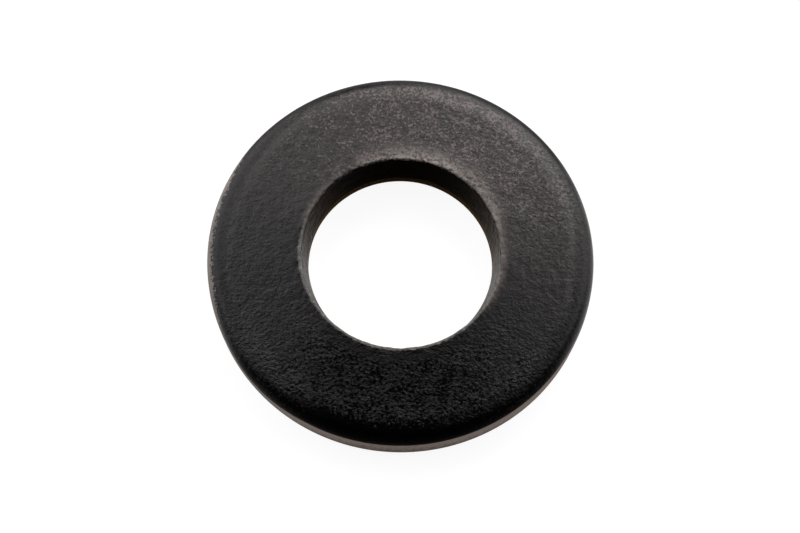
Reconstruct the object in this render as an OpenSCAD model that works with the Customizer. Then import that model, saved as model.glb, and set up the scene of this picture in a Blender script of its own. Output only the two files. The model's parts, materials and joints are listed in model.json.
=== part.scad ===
// Conical spring washer, punched from spring steel strip and pressed to a shallow cone
// Millimetres, +Z up along the bolt axis, origin at the centre of the circle that it rests on

/* [Washer] */
// Outer diameter across the rim
outer_d = 17.8; // [15:0.1:24]
// Diameter of the straight land in the hole
bore_d = 8.5; // [6:0.1:10]
// Thickness of the strip, square to its faces
thickness = 2.15; // [1.8:0.05:3]
// Slope of both faces, which fall from the hole to the rim
cone_angle = 6; // [2:0.5:9]

/* [Rim] */
// Width of the soft border where the upper face was drawn down in punching
roll_w = 1.1; // [0.9:0.05:1.6]
// Extra slope of that border
roll_angle = 5; // [3:0.5:9]
// Radius where the upper face runs into the border
brow_r = 4; // [1:0.5:6]
// Radius of the shoulder between the border and the rim
shoulder_r = 0.65; // [0.3:0.05:0.8]
// Height of the straight sheared land on the rim
rim_land_h = 0.25; // [0.1:0.05:0.4]
// How far the torn zone under that land draws in on its way to the foot
rim_draw = 0.11; // [0.05:0.01:0.3]
// Radius of the foot, the lower outer edge
foot_r = 0.15; // [0.05:0.05:0.3]

/* [Hole] */
// Height of the straight sheared land in the hole
bore_land_h = 0.45; // [0.3:0.05:0.8]
// Slope of the torn zone that opens above that land
flare_angle = 12; // [4:0.5:18]
// Radius of the upper lip
lip_r = 0.07; // [0.05:0.01:0.25]
// Radius of the lower edge, where the punch went in
entry_r = 0.1; // [0.05:0.01:0.25]

/* [Hidden] */
$fn = 96;
outer_r = outer_d / 2;
bore_r = bore_d / 2;
border_angle = cone_angle + roll_angle;
// A round stands this much proud of its edges, so that it crosses them instead of grazing them
round_proud = 0.0002;

// Radius of the sharp lower outer corner, and the heights of the two faces over it
foot_x = outer_r - rim_draw;
function lower_z(x) = (foot_x - x) * tan(cone_angle);
function upper_z(x) = lower_z(x) + thickness / cos(cone_angle);

// The rim: the border falls to the shoulder, whose rounding ends at the sheared land
brow_x = outer_r - roll_w;
shoulder_z = upper_z(brow_x) - roll_w * tan(border_angle);
shoulder_h = shoulder_r * tan((90 - border_angle) / 2);
rim_break_z = shoulder_z - shoulder_h - rim_land_h;

// The hole: a straight land over the lower edge, then a flare up to the lip
bore_break_z = lower_z(bore_r) + entry_r + bore_land_h;
flare_len = (upper_z(bore_r) - bore_break_z) / (cos(flare_angle) + sin(flare_angle) * tan(cone_angle));
lip_x = bore_r + flare_len * sin(flare_angle);

// Corners of the section with their radii, from the foot up the rim and down through the hole
CORNERS = [
    [[foot_x, 0], foot_r],
    [[outer_r, rim_break_z], 0],
    [[outer_r, shoulder_z], shoulder_r],
    [[brow_x, upper_z(brow_x)], brow_r],
    [[lip_x, upper_z(lip_x)], lip_r],
    [[bore_r, bore_break_z], 0],
    [[bore_r, lower_z(bore_r)], entry_r],
];
COUNT = len(CORNERS);
function corner(i) = CORNERS[(i + COUNT) % COUNT][0];

// Directions from a corner to its neighbours, half the angle between them, and its rounding
function unit(v) = v / norm(v);
function back_dir(i) = unit(corner(i - 1) - corner(i));
function fore_dir(i) = unit(corner(i + 1) - corner(i));
function half_angle(i) = acos(back_dir(i) * fore_dir(i)) / 2;
function inward(i) = unit(back_dir(i) + fore_dir(i));
function round_centre(i, r) = corner(i) + inward(i) * (r - round_proud) / sin(half_angle(i));
function round_reach(i, r) = (r - round_proud) / tan(half_angle(i));

// How far the rounded foot stands over its sharp corner
foot_lift = round_centre(0, foot_r)[1] - foot_r;

// What a rounding takes off a corner: a triangle over the corner, less the round itself
module corner_waste(i, r) {
    reach = round_reach(i, r);
    difference() {
        polygon([
            corner(i) + back_dir(i) * reach,
            corner(i) - inward(i) * reach,
            corner(i) + fore_dir(i) * reach,
        ]);
        translate(round_centre(i, r))
            circle(r);
    }
}

// Section of one side, with +X away from the bolt axis and its foot on the ground
module section() {
    translate([0, -foot_lift])
        difference() {
            polygon([for (c = CORNERS) c[0]]);
            for (i = [0 : COUNT - 1])
                if (CORNERS[i][1] > 0)
                    corner_waste(i, CORNERS[i][1]);
        }
}

module spring_washer() {
    color([0.16, 0.155, 0.15])
        rotate_extrude()
            section();
}

spring_washer();
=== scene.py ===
"""Conical spring washer of black phosphated steel, on a pale floor under three soft boxes behind it."""

import json
import math

import bmesh
import bpy
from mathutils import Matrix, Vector


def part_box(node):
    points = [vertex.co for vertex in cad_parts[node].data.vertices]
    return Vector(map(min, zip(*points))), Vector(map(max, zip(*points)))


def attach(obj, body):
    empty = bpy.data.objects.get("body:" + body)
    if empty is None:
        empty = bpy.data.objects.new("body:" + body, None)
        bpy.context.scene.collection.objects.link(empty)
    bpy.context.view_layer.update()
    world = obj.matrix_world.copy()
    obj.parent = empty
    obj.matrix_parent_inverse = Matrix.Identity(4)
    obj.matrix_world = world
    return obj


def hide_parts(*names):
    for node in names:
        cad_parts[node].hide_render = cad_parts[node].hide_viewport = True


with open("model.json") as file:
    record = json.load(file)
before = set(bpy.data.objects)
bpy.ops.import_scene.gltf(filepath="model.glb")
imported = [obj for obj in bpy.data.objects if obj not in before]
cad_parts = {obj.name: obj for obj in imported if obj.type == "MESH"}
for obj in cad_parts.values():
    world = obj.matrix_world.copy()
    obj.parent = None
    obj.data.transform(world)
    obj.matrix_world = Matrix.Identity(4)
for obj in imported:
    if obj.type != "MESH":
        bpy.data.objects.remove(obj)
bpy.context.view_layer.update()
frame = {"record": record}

MM = 0.001

# Sizes of the strip's section in millimetres, as the solid has them
OUTER_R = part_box("spring_washer")[1].x / MM
BORE_R = frame["record"]["mounts"][0]["dims"]["r_mm"]
THICKNESS = 2.15
CONE_ANGLE = math.radians(6)
BORDER_ANGLE = CONE_ANGLE + math.radians(5)
BORDER_W = 1.1
BROW_R = 4.0
SHOULDER_R = 0.65
RIM_LAND_H = 0.25
RIM_DRAW = 0.11
FOOT_R = 0.15
BORE_LAND_H = 0.45
FLARE_ANGLE = math.radians(12)
LIP_R = 0.07
ENTRY_R = 0.1
FOOT_X = OUTER_R - RIM_DRAW

# Corners that the relief starts from, counted from the foot up the rim and down through the hole
RIM_BREAK = 1
LIP = 4
BORE_BREAK = 5

# Mesh: steps round the washer, and the length of an edge along the section by stretch
SPIN_STEPS = 560
FACE_STEP = 0.055
WALL_STEP = 0.075
UNDER_STEP = 0.18

# Points this near to each other are the same, and an edge this near to a line lies on it
SAME_POINT = 0.001
ON_LINE = 0.002

# Relief of the surface: zone, grain of the noise and its height in millimetres
RELIEF = [
    ("faces", 1.2, 0.014),
    ("faces", 0.3, 0.012),
    ("lip", 0.7, 0.05),
    ("lip", 0.2, 0.035),
    ("torn", 0.35, 0.03),
]


def lower_z(x):
    return (FOOT_X - x) * math.tan(CONE_ANGLE)


def upper_z(x):
    return lower_z(x) + THICKNESS / math.cos(CONE_ANGLE)


def section_corners():
    """Sharp corners of the section, each with its radius, segments and the step of the next stretch."""
    brow_x = OUTER_R - BORDER_W
    shoulder_z = upper_z(brow_x) - BORDER_W * math.tan(BORDER_ANGLE)
    shoulder_h = SHOULDER_R * math.tan((math.pi / 2 - BORDER_ANGLE) / 2)
    bore_break_z = lower_z(BORE_R) + ENTRY_R + BORE_LAND_H
    rise = upper_z(BORE_R) - bore_break_z
    flare = math.tan(FLARE_ANGLE)
    lip_x = BORE_R + rise * flare / (1 + flare * math.tan(CONE_ANGLE))
    return [
        (Vector((FOOT_X, 0, 0)), FOOT_R, 5, WALL_STEP),
        (Vector((OUTER_R, 0, shoulder_z - shoulder_h - RIM_LAND_H)), 0, 0, WALL_STEP),
        (Vector((OUTER_R, 0, shoulder_z)), SHOULDER_R, 18, FACE_STEP),
        (Vector((brow_x, 0, upper_z(brow_x))), BROW_R, 6, FACE_STEP),
        (Vector((lip_x, 0, upper_z(lip_x))), LIP_R, 6, WALL_STEP),
        (Vector((BORE_R, 0, bore_break_z)), 0, 0, WALL_STEP),
        (Vector((BORE_R, 0, lower_z(BORE_R))), ENTRY_R, 4, UNDER_STEP),
    ]


def deselect_all():
    bpy.ops.object.select_all(action="DESELECT")


def select_where(mesh, kind, wanted):
    """In edit mode, selects the vertices or edges that the test wants, and nothing else."""
    bm = bmesh.from_edit_mesh(mesh)
    for piece in (*bm.verts, *bm.edges, *bm.faces):
        piece.select_set(False)
    for piece in getattr(bm, kind):
        if wanted(piece):
            piece.select_set(True)
    bm.select_flush_mode()
    bmesh.update_edit_mesh(mesh)


def round_corner(mesh, corners, i):
    """Bevels one corner of the flat section to its radius."""
    here, radius, segments, _ = corners[i]
    back = (corners[i - 1][0] - here).normalized()
    fore = (corners[(i + 1) % len(corners)][0] - here).normalized()
    half = back.angle(fore) / 2
    select_where(mesh, "verts", lambda v: (v.co - here * MM).length < SAME_POINT * MM)
    bpy.ops.mesh.bevel(affect="VERTICES", offset=radius / math.tan(half) * MM, segments=segments)


def divide_stretch(mesh, corners, i):
    """Cuts the straight stretch after a corner into short edges."""
    start, _, _, step = corners[i]
    end = corners[(i + 1) % len(corners)][0]
    along = (end - start).normalized()
    last = (end - start).length + SAME_POINT

    def on_stretch(edge):
        gone = [v.co / MM - start for v in edge.verts]
        near = all((g - along * g.dot(along)).length < ON_LINE for g in gone)
        inside = all(-SAME_POINT < g.dot(along) < last for g in gone)
        return near and inside and edge.calc_length() > 2 * step * MM

    bm = bmesh.from_edit_mesh(mesh)
    found = [edge.calc_length() / MM for edge in bm.edges if on_stretch(edge)]
    select_where(mesh, "edges", on_stretch)
    bpy.ops.mesh.subdivide(number_cuts=round(max(found) / step) - 1)


def ease(value, start, end):
    """Runs smoothly from 0 at the start to 1 at the end."""
    share = min(max((value - start) / (end - start), 0), 1)
    return share * share * (3 - 2 * share)


def mark_zones(ring, corners):
    """Weights the points of the section for the relief that each zone gets."""
    lip = corners[LIP][0]
    rim_break_z = corners[RIM_BREAK][0].z
    bore_break_z = corners[BORE_BREAK][0].z
    zones = {name: ring.vertex_groups.new(name=name) for name in ("faces", "lip", "torn")}
    for vertex in ring.data.vertices:
        point = vertex.co / MM
        on_top = ease(point.z, lower_z(point.x) + 1.2, lower_z(point.x) + 1.9)
        beside_hole = ease(point.x, lip.x, lip.x + 0.2)
        on_shoulder = ease(point.x, 8.2, 8.6)
        in_hole = ease(point.x, lip.x, lip.x - 0.05)
        on_rim = ease(point.x, FOOT_X - 0.05, FOOT_X)
        torn_rim = ease(point.z, rim_break_z, rim_break_z - 0.1) * ease(point.z, 0.15, 0.3)
        torn_hole = ease(point.z, bore_break_z, bore_break_z + 0.2)
        weights = {
            "faces": on_top * beside_hole * (1 - 0.6 * on_shoulder),
            "lip": ease((point - lip).length, 0.45, 0.0),
            "torn": max(in_hole * torn_hole, on_rim * torn_rim),
        }
        for name, weight in weights.items():
            zones[name].add([vertex.index], weight, "REPLACE")


def drawn_section(corners):
    """The outline of the section, with its corners rounded and its stretches cut into short edges."""
    deselect_all()
    bpy.ops.mesh.primitive_circle_add(vertices=len(corners), radius=OUTER_R * MM, fill_type="NGON")
    ring = bpy.context.object
    ring.name = "washer_skin"
    for vertex, corner in zip(ring.data.vertices, corners):
        vertex.co = corner[0] * MM
    bpy.ops.object.mode_set(mode="EDIT")
    bpy.ops.mesh.select_mode(type="VERT")
    for i, (_, radius, _, _) in enumerate(corners):
        if radius:
            round_corner(ring.data, corners, i)
    bpy.ops.mesh.select_all(action="SELECT")
    bpy.ops.mesh.delete(type="ONLY_FACE")
    bpy.ops.mesh.select_mode(type="EDGE")
    for i in range(len(corners)):
        divide_stretch(ring.data, corners, i)
    bpy.ops.object.mode_set(mode="OBJECT")
    return ring


def spin_about_bolt(ring):
    """Turns the outline round the bolt axis into a closed skin and sets its foot on the ground."""
    turn = ring.modifiers.new("turn", "SCREW")
    turn.steps = SPIN_STEPS
    turn.render_steps = SPIN_STEPS
    turn.use_merge_vertices = True
    turn.merge_threshold = SAME_POINT * MM
    bpy.ops.object.modifier_apply(modifier=turn.name)
    bpy.ops.object.mode_set(mode="EDIT")
    bpy.ops.mesh.select_all(action="SELECT")
    bpy.ops.mesh.normals_make_consistent(inside=False)
    lift = -min(v.co.z for v in bmesh.from_edit_mesh(ring.data).verts)
    bpy.ops.transform.translate(value=(0, 0, lift))
    bpy.ops.object.mode_set(mode="OBJECT")
    bpy.ops.object.shade_smooth()


def roughen(ring, zone, grain, height):
    """Pushes the marked zone in and out by a cloudy noise."""
    noise = bpy.data.textures.new(f"{zone} {grain}", "CLOUDS")
    noise.noise_scale = grain * MM
    push = ring.modifiers.new(noise.name, "DISPLACE")
    push.texture = noise
    push.texture_coords = "LOCAL"
    push.vertex_group = zone
    push.strength = height * MM
    push.mid_level = 0.5
    bpy.ops.object.modifier_apply(modifier=push.name)


def punched_ring():
    """The washer's skin: its section is drawn, spun about the bolt axis and roughened."""
    corners = section_corners()
    ring = drawn_section(corners)
    mark_zones(ring, corners)
    spin_about_bolt(ring)
    for zone, grain, height in RELIEF:
        roughen(ring, zone, grain, height)
    return ring


class Value:
    """An output of a material's node; sums and products of values add Math nodes."""

    def __init__(self, paint, socket):
        self.paint = paint
        self.socket = socket

    def __add__(self, other):
        return self.paint.math("ADD", self, other)

    __radd__ = __add__

    def __sub__(self, other):
        return self.paint.math("SUBTRACT", self, other)

    def __rsub__(self, other):
        return self.paint.math("SUBTRACT", other, self)

    def __mul__(self, other):
        return self.paint.math("MULTIPLY", self, other)

    __rmul__ = __mul__

    def __truediv__(self, other):
        return self.paint.math("DIVIDE", self, other)

    def __rtruediv__(self, other):
        return self.paint.math("DIVIDE", other, self)


class Paint:
    """The node tree of one material."""

    def __init__(self, name):
        self.material = bpy.data.materials.new(name)
        self.material.use_nodes = True
        self.tree = self.material.node_tree
        self.tree.nodes.clear()

    def node(self, kind, settings=None, sockets=None, out=0):
        """Adds a node, sets it up, fills or links its sockets and returns one of its outputs."""
        node = self.tree.nodes.new(kind)
        for key, setting in (settings or {}).items():
            setattr(node, key, setting)
        for key, value in (sockets or {}).items():
            if isinstance(value, Value):
                self.tree.links.new(value.socket, node.inputs[key])
            else:
                node.inputs[key].default_value = value
        return Value(self, node.outputs[out]) if node.outputs else node

    def math(self, operation, *values):
        return self.node("ShaderNodeMath", {"operation": operation}, dict(enumerate(values)))

    def stretch(self, vector, factors):
        return self.node("ShaderNodeVectorMath", {"operation": "MULTIPLY"}, {0: vector, 1: factors})

    def split(self, vector):
        node = self.node("ShaderNodeSeparateXYZ", sockets={0: vector}).socket.node
        return [Value(self, socket) for socket in node.outputs]

    def noise(self, at, scale, detail, roughness=0.5):
        return self.node("ShaderNodeTexNoise", sockets={
            "Vector": at, "Scale": scale, "Detail": detail, "Roughness": roughness})

    def fade(self, value, start, end):
        """Runs smoothly from 0 where the value is at the start to 1 where it is at the end."""
        return self.node("ShaderNodeMapRange", {"interpolation_type": "SMOOTHSTEP"}, {
            "Value": value, "From Min": start, "From Max": end})

    def tint(self, share, one, other):
        return self.node("ShaderNodeMix", {"data_type": "RGBA"}, {0: share, 6: one, 7: other}, out=2)

    def blend(self, share, one, other):
        return self.node("ShaderNodeMixShader", sockets={0: share, 1: one, 2: other})

    def finish(self, shader):
        self.node("ShaderNodeOutputMaterial", sockets={"Surface": shader})
        return self.material


# Colours of the washer's finish, with painted shade, highlight and reflection among them
COAT_BLACK = (0.0014, 0.0012, 0.0011, 1)
COAT_BROWN = (0.0085, 0.005, 0.0037, 1)
COAT_MOTTLE = (0.0245, 0.018, 0.0157, 1)
COAT_SAND = (0.124, 0.101, 0.091, 1)
COAT_RUBBED = (0.36, 0.308, 0.279, 1)
COAT_SHEEN = (1, 0.965, 0.985, 1)
# Bare steel of the lip, lightened as a painted highlight
LIP_STEEL_AND_HIGHLIGHT = (0.195, 0.176, 0.162, 1)
RUST_SPOT = (0.035, 0.014, 0.008, 1)
# Black of the pits and of painted shade
PIT_AND_SHADE_BLACK = (0.0008, 0.0004, 0.0003, 1)
PIT_FLECK = (0.035, 0.029, 0.026, 1)
# Painted shade that darkens the shoulder
SHOULDER_SHADE_BLACK = (0.0006, 0.0006, 0.0006, 1)
RIM_DULL = (0.06, 0.045, 0.038, 1)
RIM_BURNISHED = (0.172, 0.138, 0.122, 1)
# Pale painted reflection on the rim's left edge
RIM_PAINTED_REFLECTION = (0.36, 0.32, 0.295, 1)
RIM_SHEEN = (0.65, 0.6, 0.575, 1)
HOLE_BLACK = (0.0008, 0.0006, 0.0004, 1)
HOLE_SHEEN = (0.62, 0.595, 0.575, 1)
# Tan of the land, which also stands in for a painted reflection of the floor
LAND_TAN = (0.155, 0.085, 0.029, 1)

# Bounds of the finish: distance from the bolt axis in millimetres where a zone begins and is full
HOLE_WALL = (4.6, 4.56)
LIP_INSIDE = (4.53, 4.57)
LIP_OUTSIDE = (4.75, 4.64)
# Thin line of painted shadow along the lip
LIP_SHADOW_LINE_INSIDE = (4.6, 4.625)
LIP_SHADOW_LINE_OUTSIDE = (4.665, 4.64)
CLEAR_OF_LIP = (4.8, 5.5)
RUBBED_RING = (5.65, 4.6)
DUSTY_RING = (5.05, 4.6)
COARSE_BORDER = (7.2, 8.0)
SANDY_BORDER = (7.4, 8.1)
FLECKED_BORDER = (7.9, 8.3)
# Border of painted shade at the front
FRONT_SHADE_BORDER = (7.95, 8.2)
SHOULDER_START = 8.2
SHOULDER_FADE = 0.28
SMOOTH_SHOULDER = (8.2, 8.45)
INSIDE_OF_TURN = (8.7, 8.5)
SHADED_RING = (8.35, 8.5)
RIM_RING = (8.5, 8.65)

# The same as heights over the ground
LAND_TOP = (1.08, 0.92)
RIM_MIDDLE = 0.9
RIM_TOP = 1.58
# Heights of the pale painted reflection on the rim's left edge
PAINTED_REFLECTION_HEIGHTS = (1.3, 1.6)
SHADE_UNDER_SHOULDER = (2.05, 1.88)


def phosphate_and_bare_edges():
    """Black phosphate on the faces, a smoother shoulder darkened by painted shade, a bare brownish rim
    with a pale painted reflection at the left, a lip with a painted highlight, a dark torn hole.
    """
    paint = Paint("black_phosphate")
    fade = paint.fade
    noise = paint.noise

    # Place on the washer in millimetres, and its direction from the bolt axis from -1 to 1
    at = paint.stretch(paint.node("ShaderNodeTexCoord", out="Object"), (1 / MM, 1 / MM, 1 / MM))
    x, y, z = paint.split(at)
    r = paint.math("SQRT", x * x + y * y)
    backward = y / r
    rightward = x / r
    frontback = backward * backward
    sideways = rightward * rightward

    # Sectors that differ: the coat is lighter and browner towards the back and a little to the right
    toward_back_right = backward * 0.95 + rightward * 0.32
    back_right_end = fade(toward_back_right, 0.3, 0.7)
    frontmost = fade(backward, -0.4, -1.0)
    front_left = fade(rightward * 0.743 + backward * 0.669, -0.87, -1.0)
    back_left = fade(backward * 0.6 - rightward * 0.8, 0.8, 1.0)
    # The sector at the left where the rim gets a pale painted reflection and climbs over the shoulder
    left_painted_reflection = fade(backward * 0.105 - rightward * 0.995, 0.68, 0.98)

    # Noises that several layers share; the grain runs a little longer from left to right, as the
    # strip was rolled, and the streaks run up and down the walls, as the punch drew them
    wander = noise(at, 1.3, 3) - 0.5
    swell = noise(at, 2.2, 2) - 0.5
    speck = noise(at, 6, 2) - 0.5
    sand = noise(at, 8, 3, 0.65) - 0.5
    rolled = paint.stretch(at, (0.87, 1.1, 1))
    grain = noise(rolled, 6.5, 3, 0.62) - 0.5
    drawn = paint.stretch(at, (1, 1, 0.12))
    streak = noise(drawn, 9, 3, 0.6) - 0.5
    ragged = speck * 1.2 + sand * 0.8

    # The smooth shoulder, which gets a darker shader as painted shade, and the black painted shade under
    # it at the front and the back
    shoulder_edge = r + ragged * (0.8 - 0.6 * backward) + wander * 0.35 - backward * 0.08
    shoulder_edge = shoulder_edge + fade(backward, -0.7, -0.95) * 0.3
    shoulder_start = SHOULDER_START - 0.31 * sideways * (1 - back_right_end) - 0.12 * fade(rightward, -0.4, -0.9)
    on_shoulder = fade(shoulder_edge, shoulder_start, shoulder_start + SHOULDER_FADE)
    on_shoulder = on_shoulder * (1 - 0.4 * sideways) * (1 - 0.6 * front_left)
    on_shoulder = on_shoulder * (1 - 0.28 * back_left * fade(r, *INSIDE_OF_TURN))
    shade_top = back_right_end * (0.05 + 0.05 * fade(rightward, 0.1, 0.5)) + frontmost * 0.15
    painted_shade_under_shoulder = fade(z - shade_top, *SHADE_UNDER_SHOULDER) * fade(r, *SHADED_RING)
    painted_shade_under_shoulder = painted_shade_under_shoulder * fade(frontback, 0.04, 0.42) * (0.8 - 0.2 * backward)

    # The bare rim, and a pale painted reflection that climbs over the shoulder at the left
    rim_top = RIM_TOP + 0.07 * rightward - 0.36 * fade(rightward, -0.42, -0.75) + 0.9 * left_painted_reflection
    rim_top = rim_top + 0.05 * (rightward - 1) * frontmost
    rim_edge = z - rim_top + speck * 0.05 + (sand * 0.6 + speck * 0.3) * left_painted_reflection
    on_rim = fade(rim_edge, 0.02, -0.04 - 0.18 * left_painted_reflection) * fade(r, *RIM_RING)

    # The hole's wall and land, and its bare lip, lightened at the front as a painted highlight, with a
    # thin dark line of painted shadow along it; the lip ends towards the back
    in_hole = fade(r + speck * 0.03 + sand * (0.07 - 0.04 * backward), *HOLE_WALL)
    on_land = fade(z + wander * 0.15, *LAND_TOP) * in_hole
    lip_side = fade(backward + wander * 0.7 + rightward * 0.3, 0.4, -0.15)
    lip_shadow_line = fade(r + speck * 0.1, *LIP_SHADOW_LINE_INSIDE) * fade(r + speck * 0.1, *LIP_SHADOW_LINE_OUTSIDE)
    bare_lip_and_highlight = fade(r + speck * 0.1, *LIP_INSIDE) * fade(r + speck * 0.18, *LIP_OUTSIDE) * lip_side
    bare_lip_and_highlight = bare_lip_and_highlight * (1 - 0.4 * lip_shadow_line) * (1 - 0.2 * sideways + wander)
    off_lip = fade(r, *CLEAR_OF_LIP)

    # How rough the blasting is: most at the front, less at the sides and back, the lip and the shoulder
    coarse = 0.36 + 0.42 * frontback - backward * (0.15 + 0.35 * frontback - 0.1 * rightward)
    coarse = coarse + (frontmost * 0.8 + front_left * 0.5) * fade(r, *COARSE_BORDER)
    coarse = coarse * (1 - 0.6 * fade(r, *SMOOTH_SHOULDER) * frontback)
    coarse = coarse * (1 - 0.45 * (1 - off_lip) * (1 - frontback))
    relief = (grain * 0.05 + swell * 0.028) * coarse + streak * in_hole * 0.03
    bump = paint.node("ShaderNodeBump", sockets={"Height": relief, "Distance": MM, "Strength": 1.0})

    # Coating rubbed to grey round the hole, more so at the back and to the right
    rubbed = fade(r + wander * 1.4 + speck * 1.2 + sand * 2.4, *RUBBED_RING)
    rubbed = rubbed * fade(toward_back_right + wander * 0.8, 0.5, 1.1)
    rubbed = rubbed * (0.1 + 1.05 * fade(sand + speck * 0.6, -0.15, 0.17))
    dusty = fade(r + speck * 0.2 + sand * 0.4, *DUSTY_RING)
    dusty = dusty * fade(backward + rightward * 0.5, -0.3, 0.2) * fade(frontback, 0.6, 0.2)
    rubbed = rubbed + dusty * 0.25 * (1 - rubbed)

    # Sandy specks and soft patches towards the back and right of the face, and a few spots of rust
    border_sand = fade(r, *SANDY_BORDER) * fade(backward, 0.3, 0.75) * fade(rightward, -0.6, 0.0)
    sanding = sand + swell * 0.15 + wander * 0.2 + toward_back_right * 0.05 + border_sand * 0.05
    sandy = fade(sanding, 0.045, 0.2) * fade(toward_back_right, -0.1, 0.95)
    mottle = fade(noise(at, 1.9, 3, 0.6), 0.46, 0.74) * fade(toward_back_right, -0.3, 0.8)
    rust = fade(noise(at, 3.7, 1), 0.74, 0.8)

    # Black pits, partly the coat's own pits and partly painted shade that grows towards the front, where
    # they run together into a black border of painted shade with pale flecks at its ends
    pitting = noise(rolled, 8.5, 3, 0.65) + frontmost * (wander * 0.2 + swell * 0.15 - 0.15)
    pits_and_painted_shade = fade(pitting, 0.42, 0.26) * off_lip * (0.75 + 0.25 * frontmost)
    pits_and_painted_shade = pits_and_painted_shade + frontmost * frontmost * (0.6 - 0.2 * off_lip) * (1 - pits_and_painted_shade)
    front_border_painted_shade = fade(r + ragged * 0.9, *FRONT_SHADE_BORDER)
    front_border_painted_shade = front_border_painted_shade * fade(backward * 0.99 + rightward * 0.14, -0.87, -0.985)
    pits_and_painted_shade = pits_and_painted_shade + front_border_painted_shade * (1 - pits_and_painted_shade)
    fleck = fade(sand + speck * 0.5, 0.03, 0.2) * fade(r, *FLECKED_BORDER)
    fleck = fleck * fade(backward, -0.2, -0.55) * fade(backward, -0.95, -0.75)

    # The coated faces
    coat = paint.tint(fade(toward_back_right, -0.4, 0.8), COAT_BLACK, COAT_BROWN)
    coat = paint.tint(mottle, coat, COAT_MOTTLE)
    coat = paint.tint(sandy, coat, COAT_SAND)
    coat = paint.tint(rubbed, coat, COAT_RUBBED)
    coat = paint.tint(bare_lip_and_highlight, coat, LIP_STEEL_AND_HIGHLIGHT)
    coat = paint.tint(rust, coat, RUST_SPOT)
    face = paint.node("ShaderNodeBsdfPrincipled", sockets={
        "Base Color": coat, "Roughness": 0.33, "Specular Tint": COAT_SHEEN, "Normal": bump})
    # The shoulder: the coat darkened to near black and made less reflecting, as painted shade
    shoulder_painted_shade = paint.node("ShaderNodeBsdfPrincipled", sockets={
        "Base Color": paint.tint(0.88, coat, SHOULDER_SHADE_BLACK), "Roughness": 0.3, "IOR": 1.3,
        "Specular Tint": COAT_SHEEN, "Normal": bump})
    # Near-black, barely reflecting pits, also used for painted shade on the front border and under the
    # shoulder
    pit_and_painted_shade = paint.node("ShaderNodeBsdfPrincipled", sockets={
        "Base Color": paint.tint(fleck, PIT_AND_SHADE_BLACK, PIT_FLECK), "Roughness": 0.6, "IOR": 1.07,
        "Normal": bump})

    # The bare rim: dull at its foot, burnished in streaks above, with a pale painted reflection where it
    # climbs at the left
    rub = streak * 1.1 + sand * 0.7 + (z - RIM_MIDDLE) * 0.6
    rub = rub + sideways * (1 - sideways) * 1.5 - rightward * 0.1
    sheared = paint.tint(fade(rub, -0.42, 0.38), RIM_DULL, RIM_BURNISHED)
    left_edge_painted_reflection = left_painted_reflection * fade(z, *PAINTED_REFLECTION_HEIGHTS)
    rim = paint.node("ShaderNodeBsdfPrincipled", sockets={
        "Base Color": paint.tint(left_edge_painted_reflection, sheared, RIM_PAINTED_REFLECTION), "Metallic": 1 - 0.9 * left_edge_painted_reflection,
        "Roughness": 0.5 + 0.4 * left_edge_painted_reflection, "IOR": 1.1, "Specular Tint": RIM_SHEEN, "Normal": bump})

    # The torn wall of the hole, and the land under it, whose tan also stands in for a painted reflection
    # of the floor
    torn = paint.node("ShaderNodeBsdfPrincipled", sockets={
        "Base Color": HOLE_BLACK, "Metallic": 1.0, "Roughness": 0.85 - 0.6 * sideways,
        "Specular Tint": HOLE_SHEEN, "Normal": bump})
    land = paint.node("ShaderNodeBsdfPrincipled", sockets={
        "Base Color": LAND_TAN, "Roughness": 0.6, "IOR": 1.03, "Normal": bump})

    shown = paint.blend(on_shoulder, face, shoulder_painted_shade)
    shown = paint.blend(pits_and_painted_shade * (1 - bare_lip_and_highlight), shown, pit_and_painted_shade)
    shown = paint.blend(painted_shade_under_shoulder, shown, pit_and_painted_shade)
    shown = paint.blend(on_rim, shown, rim)
    shown = paint.blend(in_hole, shown, torn)
    shown = paint.blend(on_land, shown, land)
    return paint.finish(shown)


def aim(thing, target):
    """Turns a lamp or the camera to look at a point."""
    thing.rotation_euler = (target - thing.location).to_track_quat("-Z", "Y").to_euler()


# Camera: it looks down on the washer from the front, at the photograph's angle
IMAGE_W = 800
FOCAL_PX = 3440
SENSOR_W = 36
CAMERA_ELEVATION = math.radians(70.8)
CAMERA_DISTANCE = 160 * MM
CAMERA_ROLL = math.radians(1.7)
CAMERA_TARGET = Vector((-0.013, 0.221, 0)) * MM


def set_camera():
    away = Vector((0, -math.cos(CAMERA_ELEVATION), math.sin(CAMERA_ELEVATION)))
    bpy.ops.object.camera_add(location=CAMERA_TARGET + away * CAMERA_DISTANCE)
    camera = bpy.context.object
    camera.data.sensor_width = SENSOR_W
    camera.data.lens = FOCAL_PX * SENSOR_W / IMAGE_W
    camera.data.clip_start = 1 * MM
    aim(camera, CAMERA_TARGET)
    camera.rotation_euler.rotate_axis("Z", CAMERA_ROLL)
    bpy.context.scene.camera = camera


# Floor and room: the floor glows only where the camera or a reflection sees it, and keeps the shadow
FLOOR_W = 1.2
FLOOR_GREY = (0.22, 0.22, 0.22, 1)
FLOOR_GLOW = 0.92
ROOM_LIGHT = 0.02
WHITE = (1, 1, 1, 1)


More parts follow.
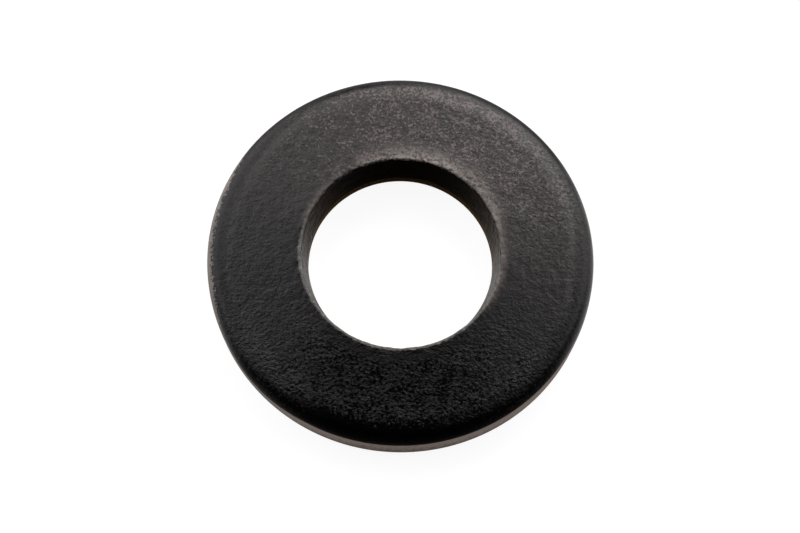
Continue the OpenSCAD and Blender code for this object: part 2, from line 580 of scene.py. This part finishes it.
def pale_floor():
    deselect_all()
    bpy.ops.mesh.primitive_plane_add(size=FLOOR_W)
    floor = bpy.context.object
    floor.name = "floor"
    paint = Paint("pale_floor")
    lit = paint.node("ShaderNodeBsdfDiffuse", sockets={"Color": FLOOR_GREY})
    glow = paint.node("ShaderNodeEmission", sockets={"Color": WHITE, "Strength": FLOOR_GLOW})
    dark = paint.node("ShaderNodeEmission", sockets={"Strength": 0.0})
    seen = paint.node("ShaderNodeLightPath", out="Is Camera Ray")
    glossy = paint.node("ShaderNodeLightPath", out="Is Glossy Ray")
    through = paint.node("ShaderNodeLightPath", out="Is Transmission Ray")
    shown = paint.blend(seen + glossy + through, dark, glow)
    both = paint.node("ShaderNodeAddShader", sockets={0: lit, 1: shown})
    floor.data.materials.append(paint.finish(both))


def plain_world():
    world = bpy.data.worlds.new("room")
    world.use_nodes = True
    background = world.node_tree.nodes["Background"]
    background.inputs["Color"].default_value = WHITE
    background.inputs["Strength"].default_value = ROOM_LIGHT
    bpy.context.scene.world = world


def soft_lamp(name, azimuth, elevation, distance, width, height, radiance):
    """A soft box at a direction from the washer; azimuth 0 is behind it, and turns to the right."""
    a = math.radians(azimuth)
    e = math.radians(elevation)
    place = Vector((math.sin(a) * math.cos(e), math.cos(a) * math.cos(e), math.sin(e))) * distance
    bpy.ops.object.light_add(type="AREA", location=place)
    lamp = bpy.context.object
    lamp.name = name
    lamp.data.shape = "RECTANGLE"
    lamp.data.size = width
    lamp.data.size_y = height
    lamp.data.energy = radiance * math.pi * width * height
    aim(lamp, Vector((0, 0, 0)))


ring = punched_ring()
ring.data.materials.clear()
ring.data.materials.append(phosphate_and_bare_edges())
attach(ring, "root")
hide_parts("spring_washer")

set_camera()
pale_floor()
soft_lamp("back_softbox", azimuth=20, elevation=26, distance=0.5, width=0.4, height=0.46, radiance=2.5)
soft_lamp("left_softbox", azimuth=-51, elevation=33, distance=0.5, width=0.62, height=0.6, radiance=1.9)
soft_lamp("right_softbox", azimuth=51, elevation=33, distance=0.5, width=0.62, height=0.6, radiance=1.56)
plain_world()
bpy.context.scene.view_settings.view_transform = "Standard"
